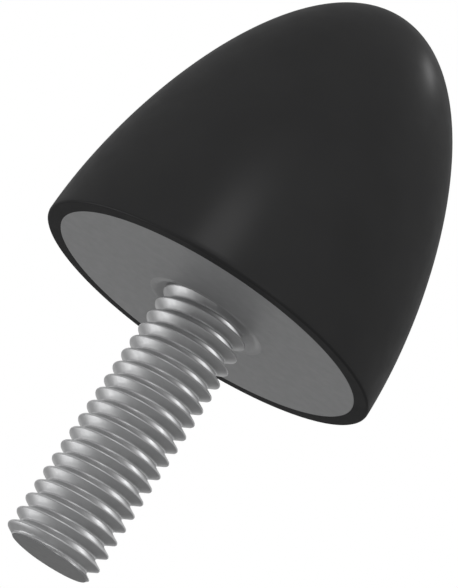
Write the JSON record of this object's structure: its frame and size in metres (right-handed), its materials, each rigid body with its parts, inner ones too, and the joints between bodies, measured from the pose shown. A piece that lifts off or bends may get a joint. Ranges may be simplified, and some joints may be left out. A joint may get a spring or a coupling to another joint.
{
  "type": "rubber buffer",
  "caption": "Bullet-shaped rubber buffer bonded round a steel disc, with a threaded stud that screws it to a machine to soften knocks at the end of travel.",
  "frame": {"origin": "centre of the plate's seat face, where the stud leaves it", "axes": "+Z along the part's axis, towards the rubber nose; the stud points along -Z; X and Y lie in the seat face"},
  "size_m": [0.03, 0.03, 0.053],
  "materials": {
    "rubber": "smooth moulded black rubber, satin",
    "zinc_plated_steel": "bright zinc plating, satin"
  },
  "bodies": {
    "root": {"rubber_body": "rubber", "base_plate": "zinc_plated_steel", "threaded_stud": "zinc_plated_steel"}
  },
  "joints": []
}
